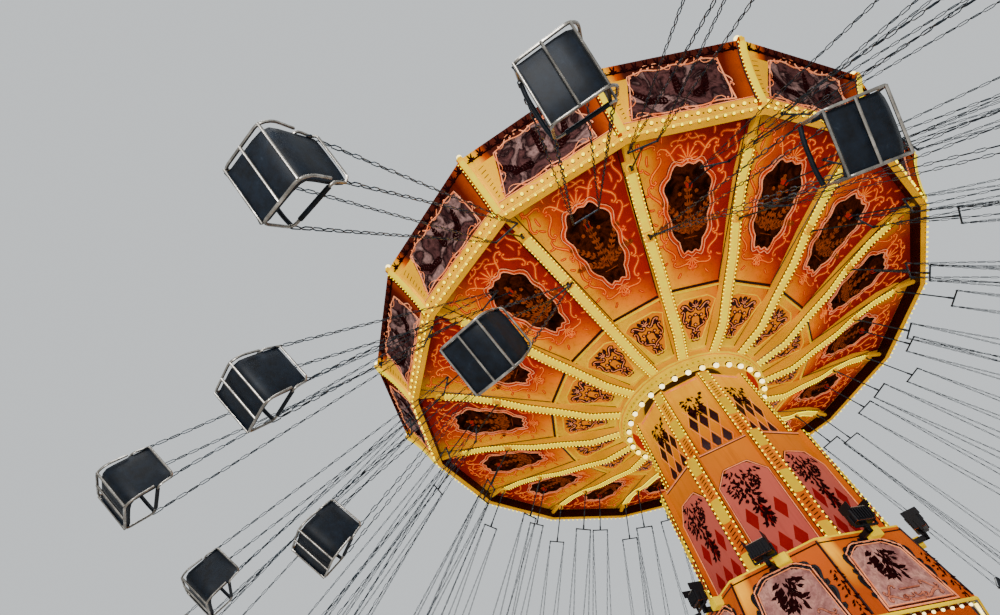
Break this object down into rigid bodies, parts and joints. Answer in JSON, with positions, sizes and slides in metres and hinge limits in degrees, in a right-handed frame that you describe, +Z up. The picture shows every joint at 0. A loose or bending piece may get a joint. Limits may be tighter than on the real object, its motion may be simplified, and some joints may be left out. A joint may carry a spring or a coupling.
{
  "type": "chair swing ride",
  "caption": "Chair swing ride: rows of chairs on chains fly out from a lit, painted canopy that spins, tilts and rides up and down a decorated tower.",
  "frame": {"origin": "on the tower's axis at ground level", "axes": "+Z up, +X towards the first canopy corner and the first outer chair"},
  "size_m": [19.5262, 19.5262, 12.15],
  "materials": {
    "plinth_metal": "matte",
    "pedestal_panels": "gloss",
    "steel": "satin",
    "casing_panels": "gloss",
    "drum_panels": "gloss",
    "hub_gold": "gloss",
    "rib_yellow": "gloss",
    "ceiling_boards": "satin",
    "fascia_boards": "satin",
    "roof_panels": "satin",
    "chair_steel": "satin"
  },
  "bodies": {
    "base": {"base_plinth": "plinth_metal", "pedestal": "pedestal_panels", "mast_guide": "steel"},
    "mast": {"lift_mast": "steel"},
    "tower": {"tower_casing": "casing_panels", "tower_drum": "drum_panels"},
    "head": {"tilt_head": "steel"},
    "canopy": {"canopy_hub": "hub_gold", "canopy_frame": "rib_yellow", "ceiling": "ceiling_boards", "fascia": "fascia_boards", "roof": "roof_panels"},
    "chair_out_01": {"chair_out_01": "chair_steel"},
    "chair_out_02": {"chair_out_02": "chair_steel"},
    "chair_out_03": {"chair_out_03": "chair_steel"},
    "chair_out_04": {"chair_out_04": "chair_steel"},
    "chair_out_05": {"chair_out_05": "chair_steel"},
    "chair_out_06": {"chair_out_06": "chair_steel"},
    "chair_out_07": {"chair_out_07": "chair_steel"},
    "chair_out_08": {"chair_out_08": "chair_steel"},
    "chair_out_09": {"chair_out_09": "chair_steel"},
    "chair_out_10": {"chair_out_10": "chair_steel"},
    "chair_out_11": {"chair_out_11": "chair_steel"},
    "chair_out_12": {"chair_out_12": "chair_steel"},
    "chair_out_13": {"chair_out_13": "chair_steel"},
    "chair_out_14": {"chair_out_14": "chair_steel"},
    "chair_out_15": {"chair_out_15": "chair_steel"},
    "chair_out_16": {"chair_out_16": "chair_steel"},
    "chair_mid_01": {"chair_mid_01": "chair_steel"},
    "chair_mid_02": {"chair_mid_02": "chair_steel"},
    "chair_mid_03": {"chair_mid_03": "chair_steel"},
    "chair_mid_04": {"chair_mid_04": "chair_steel"},
    "chair_mid_05": {"chair_mid_05": "chair_steel"},
    "chair_mid_06": {"chair_mid_06": "chair_steel"},
    "chair_mid_07": {"chair_mid_07": "chair_steel"},
    "chair_mid_08": {"chair_mid_08": "chair_steel"},
    "chair_mid_09": {"chair_mid_09": "chair_steel"},
    "chair_mid_10": {"chair_mid_10": "chair_steel"},
    "chair_mid_11": {"chair_mid_11": "chair_steel"},
    "chair_mid_12": {"chair_mid_12": "chair_steel"},
    "chair_mid_13": {"chair_mid_13": "chair_steel"},
    "chair_mid_14": {"chair_mid_14": "chair_steel"},
    "chair_mid_15": {"chair_mid_15": "chair_steel"},
    "chair_mid_16": {"chair_mid_16": "chair_steel"},
    "chair_in_01": {"chair_in_01": "chair_steel"},
    "chair_in_02": {"chair_in_02": "chair_steel"},
    "chair_in_03": {"chair_in_03": "chair_steel"},
    "chair_in_04": {"chair_in_04": "chair_steel"},
    "chair_in_05": {"chair_in_05": "chair_steel"},
    "chair_in_06": {"chair_in_06": "chair_steel"},
    "chair_in_07": {"chair_in_07": "chair_steel"},
    "chair_in_08": {"chair_in_08": "chair_steel"},
    "chair_in_09": {"chair_in_09": "chair_steel"},
    "chair_in_10": {"chair_in_10": "chair_steel"},
    "chair_in_11": {"chair_in_11": "chair_steel"},
    "chair_in_12": {"chair_in_12": "chair_steel"},
    "chair_in_13": {"chair_in_13": "chair_steel"},
    "chair_in_14": {"chair_in_14": "chair_steel"},
    "chair_in_15": {"chair_in_15": "chair_steel"},
    "chair_in_16": {"chair_in_16": "chair_steel"}
  },
  "joints": [
    {"name": "tower_lift", "type": "slide", "parent": "base", "child": "mast", "axis": [0, 0, 1], "range_m": [-2.5, 0]},
    {"name": "tower_turn", "type": "hinge", "parent": "mast", "child": "tower", "pos_m": [0, 0, 6.95], "axis": [0, 0, 1], "continuous": true},
    {"name": "canopy_tilt", "type": "hinge", "parent": "tower", "child": "head", "pos_m": [0, 0, 7.9], "axis": [1, 0, 0], "range_deg": [0, 12]},
    {"name": "canopy_spin", "type": "hinge", "parent": "head", "child": "canopy", "pos_m": [0, 0, 8.26], "axis": [0, 0, 1], "continuous": true},
    {"name": "chair_swing", "type": "hinge", "parent": "canopy", "child": "chair_out_01", "pos_m": [5.65, 0, 9.006], "axis": [0, -1, 0], "range_deg": [-42, 8]},
    {"name": "swing_out_02", "type": "hinge", "parent": "canopy", "child": "chair_out_02", "pos_m": [5.21992, 2.16216, 9.006], "axis": [0.3827, -0.9239, 0], "range_deg": [-42, 8]},
    {"name": "swing_out_03", "type": "hinge", "parent": "canopy", "child": "chair_out_03", "pos_m": [3.99515, 3.99515, 9.006], "axis": [0.7071, -0.7071, 0], "range_deg": [-42, 8]},
    {"name": "swing_out_04", "type": "hinge", "parent": "canopy", "child": "chair_out_04", "pos_m": [2.16216, 5.21992, 9.006], "axis": [0.9239, -0.3827, 0], "range_deg": [-42, 8]},
    {"name": "swing_out_05", "type": "hinge", "parent": "canopy", "child": "chair_out_05", "pos_m": [0, 5.65, 9.006], "axis": [1, 0, 0], "range_deg": [-42, 8]},
    {"name": "swing_out_06", "type": "hinge", "parent": "canopy", "child": "chair_out_06", "pos_m": [-2.16216, 5.21992, 9.006], "axis": [0.9239, 0.3827, 0], "range_deg": [-42, 8]},
    {"name": "swing_out_07", "type": "hinge", "parent": "canopy", "child": "chair_out_07", "pos_m": [-3.99515, 3.99515, 9.006], "axis": [0.7071, 0.7071, 0], "range_deg": [-42, 8]},
    {"name": "swing_out_08", "type": "hinge", "parent": "canopy", "child": "chair_out_08", "pos_m": [-5.21992, 2.16216, 9.006], "axis": [0.3827, 0.9239, 0], "range_deg": [-42, 8]},
    {"name": "swing_out_09", "type": "hinge", "parent": "canopy", "child": "chair_out_09", "pos_m": [-5.65, 0, 9.006], "axis": [0, 1, 0], "range_deg": [-42, 8]},
    {"name": "swing_out_10", "type": "hinge", "parent": "canopy", "child": "chair_out_10", "pos_m": [-5.21992, -2.16216, 9.006], "axis": [-0.3827, 0.9239, 0], "range_deg": [-42, 8]},
    {"name": "swing_out_11", "type": "hinge", "parent": "canopy", "child": "chair_out_11", "pos_m": [-3.99515, -3.99515, 9.006], "axis": [-0.7071, 0.7071, 0], "range_deg": [-42, 8]},
    {"name": "swing_out_12", "type": "hinge", "parent": "canopy", "child": "chair_out_12", "pos_m": [-2.16216, -5.21992, 9.006], "axis": [-0.9239, 0.3827, 0], "range_deg": [-42, 8]},
    {"name": "swing_out_13", "type": "hinge", "parent": "canopy", "child": "chair_out_13", "pos_m": [0, -5.65, 9.006], "axis": [-1, 0, 0], "range_deg": [-42, 8]},
    {"name": "swing_out_14", "type": "hinge", "parent": "canopy", "child": "chair_out_14", "pos_m": [2.16216, -5.21992, 9.006], "axis": [-0.9239, -0.3827, 0], "range_deg": [-42, 8]},
    {"name": "swing_out_15", "type": "hinge", "parent": "canopy", "child": "chair_out_15", "pos_m": [3.99515, -3.99515, 9.006], "axis": [-0.7071, -0.7071, 0], "range_deg": [-42, 8]},
    {"name": "swing_out_16", "type": "hinge", "parent": "canopy", "child": "chair_out_16", "pos_m": [5.21992, -2.16216, 9.006], "axis": [-0.3827, -0.9239, 0], "range_deg": [-42, 8]},
    {"name": "swing_mid_01", "type": "hinge", "parent": "canopy", "child": "chair_mid_01", "pos_m": [4.90393, 0.97545, 9.029], "axis": [0.1951, -0.9808, 0], "range_deg": [-41, 8]},
    {"name": "swing_mid_02", "type": "hinge", "parent": "canopy", "child": "chair_mid_02", "pos_m": [4.15735, 2.77785, 9.029], "axis": [0.5556, -0.8315, 0], "range_deg": [-41, 8]},
    {"name": "swing_mid_03", "type": "hinge", "parent": "canopy", "child": "chair_mid_03", "pos_m": [2.77785, 4.15735, 9.029], "axis": [0.8315, -0.5556, 0], "range_deg": [-41, 8]},
    {"name": "swing_mid_04", "type": "hinge", "parent": "canopy", "child": "chair_mid_04", "pos_m": [0.97545, 4.90393, 9.029], "axis": [0.9808, -0.1951, 0], "range_deg": [-41, 8]},
    {"name": "swing_mid_05", "type": "hinge", "parent": "canopy", "child": "chair_mid_05", "pos_m": [-0.97545, 4.90393, 9.029], "axis": [0.9808, 0.1951, 0], "range_deg": [-41, 8]},
    {"name": "swing_mid_06", "type": "hinge", "parent": "canopy", "child": "chair_mid_06", "pos_m": [-2.77785, 4.15735, 9.029], "axis": [0.8315, 0.5556, 0], "range_deg": [-41, 8]},
    {"name": "swing_mid_07", "type": "hinge", "parent": "canopy", "child": "chair_mid_07", "pos_m": [-4.15735, 2.77785, 9.029], "axis": [0.5556, 0.8315, 0], "range_deg": [-41, 8]},
    {"name": "swing_mid_08", "type": "hinge", "parent": "canopy", "child": "chair_mid_08", "pos_m": [-4.90393, 0.97545, 9.029], "axis": [0.1951, 0.9808, 0], "range_deg": [-41, 8]},
    {"name": "swing_mid_09", "type": "hinge", "parent": "canopy", "child": "chair_mid_09", "pos_m": [-4.90393, -0.97545, 9.029], "axis": [-0.1951, 0.9808, 0], "range_deg": [-41, 8]},
    {"name": "swing_mid_10", "type": "hinge", "parent": "canopy", "child": "chair_mid_10", "pos_m": [-4.15735, -2.77785, 9.029], "axis": [-0.5556, 0.8315, 0], "range_deg": [-41, 8]},
    {"name": "swing_mid_11", "type": "hinge", "parent": "canopy", "child": "chair_mid_11", "pos_m": [-2.77785, -4.15735, 9.029], "axis": [-0.8315, 0.5556, 0], "range_deg": [-41, 8]},
    {"name": "swing_mid_12", "type": "hinge", "parent": "canopy", "child": "chair_mid_12", "pos_m": [-0.97545, -4.90393, 9.029], "axis": [-0.9808, 0.1951, 0], "range_deg": [-41, 8]},
    {"name": "swing_mid_13", "type": "hinge", "parent": "canopy", "child": "chair_mid_13", "pos_m": [0.97545, -4.90393, 9.029], "axis": [-0.9808, -0.1951, 0], "range_deg": [-41, 8]},
    {"name": "swing_mid_14", "type": "hinge", "parent": "canopy", "child": "chair_mid_14", "pos_m": [2.77785, -4.15735, 9.029], "axis": [-0.8315, -0.5556, 0], "range_deg": [-41, 8]},
    {"name": "swing_mid_15", "type": "hinge", "parent": "canopy", "child": "chair_mid_15", "pos_m": [4.15735, -2.77785, 9.029], "axis": [-0.5556, -0.8315, 0], "range_deg": [-41, 8]},
    {"name": "swing_mid_16", "type": "hinge", "parent": "canopy", "child": "chair_mid_16", "pos_m": [4.90393, -0.97545, 9.029], "axis": [-0.1951, -0.9808, 0], "range_deg": [-41, 8]},
    {"name": "swing_in_01", "type": "hinge", "parent": "canopy", "child": "chair_in_01", "pos_m": [4.37, 0, 8.681], "axis": [0, -1, 0], "range_deg": [-37, 8]},
    {"name": "swing_in_02", "type": "hinge", "parent": "canopy", "child": "chair_in_02", "pos_m": [4.03735, 1.67233, 8.681], "axis": [0.3827, -0.9239, 0], "range_deg": [-37, 8]},
    {"name": "swing_in_03", "type": "hinge", "parent": "canopy", "child": "chair_in_03", "pos_m": [3.09006, 3.09006, 8.681], "axis": [0.7071, -0.7071, 0], "range_deg": [-37, 8]},
    {"name": "swing_in_04", "type": "hinge", "parent": "canopy", "child": "chair_in_04", "pos_m": [1.67233, 4.03735, 8.681], "axis": [0.9239, -0.3827, 0], "range_deg": [-37, 8]},
    {"name": "swing_in_05", "type": "hinge", "parent": "canopy", "child": "chair_in_05", "pos_m": [0, 4.37, 8.681], "axis": [1, 0, 0], "range_deg": [-37, 8]},
    {"name": "swing_in_06", "type": "hinge", "parent": "canopy", "child": "chair_in_06", "pos_m": [-1.67233, 4.03735, 8.681], "axis": [0.9239, 0.3827, 0], "range_deg": [-37, 8]},
    {"name": "swing_in_07", "type": "hinge", "parent": "canopy", "child": "chair_in_07", "pos_m": [-3.09006, 3.09006, 8.681], "axis": [0.7071, 0.7071, 0], "range_deg": [-37, 8]},
    {"name": "swing_in_08", "type": "hinge", "parent": "canopy", "child": "chair_in_08", "pos_m": [-4.03735, 1.67233, 8.681], "axis": [0.3827, 0.9239, 0], "range_deg": [-37, 8]},
    {"name": "swing_in_09", "type": "hinge", "parent": "canopy", "child": "chair_in_09", "pos_m": [-4.37, 0, 8.681], "axis": [0, 1, 0], "range_deg": [-37, 8]},
    {"name": "swing_in_10", "type": "hinge", "parent": "canopy", "child": "chair_in_10", "pos_m": [-4.03735, -1.67233, 8.681], "axis": [-0.3827, 0.9239, 0], "range_deg": [-37, 8]},
    {"name": "swing_in_11", "type": "hinge", "parent": "canopy", "child": "chair_in_11", "pos_m": [-3.09006, -3.09006, 8.681], "axis": [-0.7071, 0.7071, 0], "range_deg": [-37, 8]},
    {"name": "swing_in_12", "type": "hinge", "parent": "canopy", "child": "chair_in_12", "pos_m": [-1.67233, -4.03735, 8.681], "axis": [-0.9239, 0.3827, 0], "range_deg": [-37, 8]},
    {"name": "swing_in_13", "type": "hinge", "parent": "canopy", "child": "chair_in_13", "pos_m": [0, -4.37, 8.681], "axis": [-1, 0, 0], "range_deg": [-37, 8]},
    {"name": "swing_in_14", "type": "hinge", "parent": "canopy", "child": "chair_in_14", "pos_m": [1.67233, -4.03735, 8.681], "axis": [-0.9239, -0.3827, 0], "range_deg": [-37, 8]},
    {"name": "swing_in_15", "type": "hinge", "parent": "canopy", "child": "chair_in_15", "pos_m": [3.09006, -3.09006, 8.681], "axis": [-0.7071, -0.7071, 0], "range_deg": [-37, 8]},
    {"name": "swing_in_16", "type": "hinge", "parent": "canopy", "child": "chair_in_16", "pos_m": [4.03735, -1.67233, 8.681], "axis": [-0.3827, -0.9239, 0], "range_deg": [-37, 8]}
  ],
  "couplings": [
    {"joint": "swing_out_02", "follows": "chair_swing", "ratio": 1},
    {"joint": "swing_out_03", "follows": "chair_swing", "ratio": 1},
    {"joint": "swing_out_04", "follows": "chair_swing", "ratio": 1},
    {"joint": "swing_out_05", "follows": "chair_swing", "ratio": 1},
    {"joint": "swing_out_06", "follows": "chair_swing", "ratio": 1},
    {"joint": "swing_out_07", "follows": "chair_swing", "ratio": 1},
    {"joint": "swing_out_08", "follows": "chair_swing", "ratio": 1},
    {"joint": "swing_out_09", "follows": "chair_swing", "ratio": 1},
    {"joint": "swing_out_10", "follows": "chair_swing", "ratio": 1},
    {"joint": "swing_out_11", "follows": "chair_swing", "ratio": 1},
    {"joint": "swing_out_12", "follows": "chair_swing", "ratio": 1},
    {"joint": "swing_out_13", "follows": "chair_swing", "ratio": 1},
    {"joint": "swing_out_14", "follows": "chair_swing", "ratio": 1},
    {"joint": "swing_out_15", "follows": "chair_swing", "ratio": 1},
    {"joint": "swing_out_16", "follows": "chair_swing", "ratio": 1},
    {"joint": "swing_mid_01", "follows": "chair_swing", "ratio": 0.97619},
    {"joint": "swing_mid_02", "follows": "chair_swing", "ratio": 0.97619},
    {"joint": "swing_mid_03", "follows": "chair_swing", "ratio": 0.97619},
    {"joint": "swing_mid_04", "follows": "chair_swing", "ratio": 0.97619},
    {"joint": "swing_mid_05", "follows": "chair_swing", "ratio": 0.97619},
    {"joint": "swing_mid_06", "follows": "chair_swing", "ratio": 0.97619},
    {"joint": "swing_mid_07", "follows": "chair_swing", "ratio": 0.97619},
    {"joint": "swing_mid_08", "follows": "chair_swing", "ratio": 0.97619},
    {"joint": "swing_mid_09", "follows": "chair_swing", "ratio": 0.97619},
    {"joint": "swing_mid_10", "follows": "chair_swing", "ratio": 0.97619},
    {"joint": "swing_mid_11", "follows": "chair_swing", "ratio": 0.97619},
    {"joint": "swing_mid_12", "follows": "chair_swing", "ratio": 0.97619},
    {"joint": "swing_mid_13", "follows": "chair_swing", "ratio": 0.97619},
    {"joint": "swing_mid_14", "follows": "chair_swing", "ratio": 0.97619},
    {"joint": "swing_mid_15", "follows": "chair_swing", "ratio": 0.97619},
    {"joint": "swing_mid_16", "follows": "chair_swing", "ratio": 0.97619},
    {"joint": "swing_in_01", "follows": "chair_swing", "ratio": 0.88095},
    {"joint": "swing_in_02", "follows": "chair_swing", "ratio": 0.88095},
    {"joint": "swing_in_03", "follows": "chair_swing", "ratio": 0.88095},
    {"joint": "swing_in_04", "follows": "chair_swing", "ratio": 0.88095},
    {"joint": "swing_in_05", "follows": "chair_swing", "ratio": 0.88095},
    {"joint": "swing_in_06", "follows": "chair_swing", "ratio": 0.88095},
    {"joint": "swing_in_07", "follows": "chair_swing", "ratio": 0.88095},
    {"joint": "swing_in_08", "follows": "chair_swing", "ratio": 0.88095},
    {"joint": "swing_in_09", "follows": "chair_swing", "ratio": 0.88095},
    {"joint": "swing_in_10", "follows": "chair_swing", "ratio": 0.88095},
    {"joint": "swing_in_11", "follows": "chair_swing", "ratio": 0.88095},
    {"joint": "swing_in_12", "follows": "chair_swing", "ratio": 0.88095},
    {"joint": "swing_in_13", "follows": "chair_swing", "ratio": 0.88095},
    {"joint": "swing_in_14", "follows": "chair_swing", "ratio": 0.88095},
    {"joint": "swing_in_15", "follows": "chair_swing", "ratio": 0.88095},
    {"joint": "swing_in_16", "follows": "chair_swing", "ratio": 0.88095}
  ]
}
